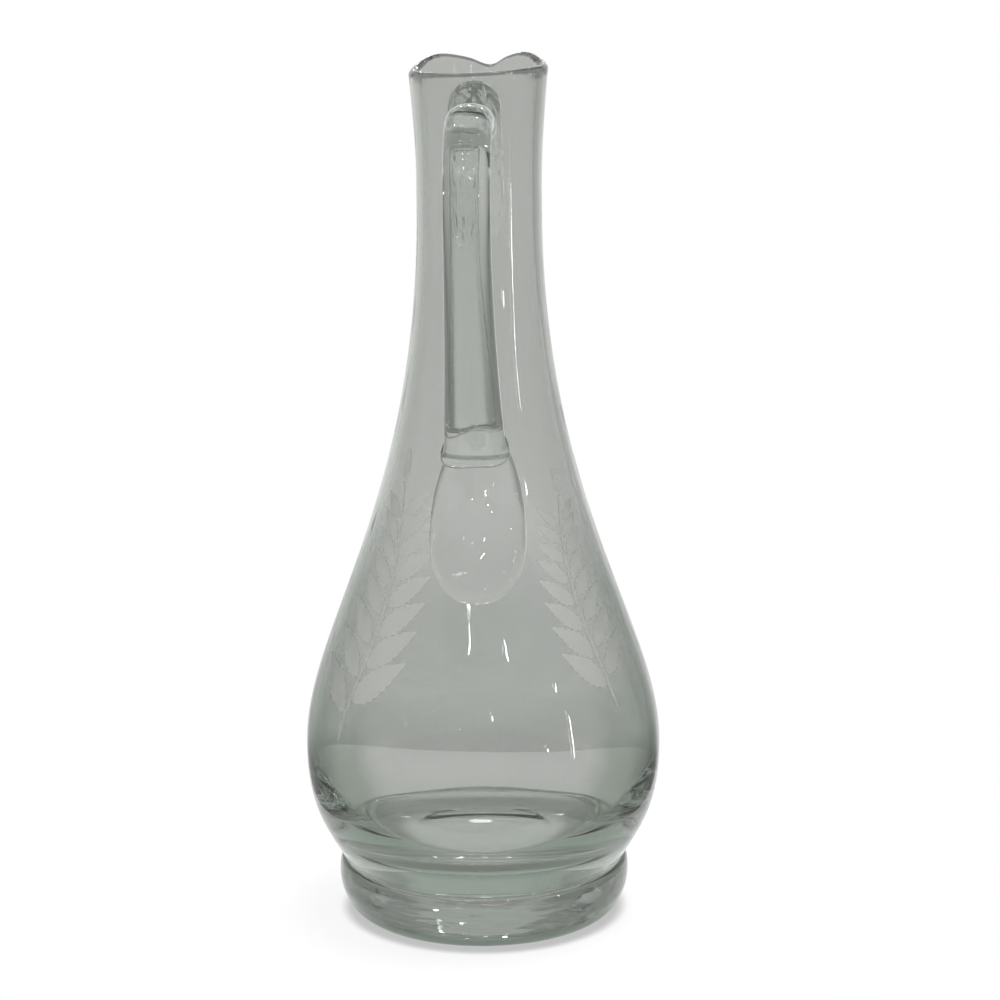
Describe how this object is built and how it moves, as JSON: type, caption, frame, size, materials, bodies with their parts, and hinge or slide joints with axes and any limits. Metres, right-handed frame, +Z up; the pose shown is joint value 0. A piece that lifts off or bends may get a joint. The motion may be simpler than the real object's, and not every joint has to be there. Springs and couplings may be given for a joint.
{
  "type": "bar carafe",
  "caption": "Hand-blown glass carafe with a round bowl, long neck, pulled pouring lip, rod handle welded through a flat pad, and a solid cast-on foot, for serving wine or water.",
  "frame": {"origin": "centre of the standing ring under the foot, on the axis of the bowl", "axes": "+Z up along the axis of bowl and neck, -Y towards the handle, +Y towards the pouring lip, +X to the right seen from the handle"},
  "size_m": [0.1118, 0.1181, 0.2708],
  "materials": {
    "vessel_glass": "clear, fire-polished, faint grey-green tint, etched leaf sprays on the bowl",
    "foot_glass": "clear, fire-polished, grey-green where thick, ground standing ring",
    "handle_glass": "clear, fire-polished, fine draw lines",
    "pad_glass": "clear, fire-polished"
  },
  "bodies": {
    "root": {"vessel": "vessel_glass", "foot": "foot_glass", "handle": "handle_glass", "handle_pad": "pad_glass"}
  },
  "joints": []
}
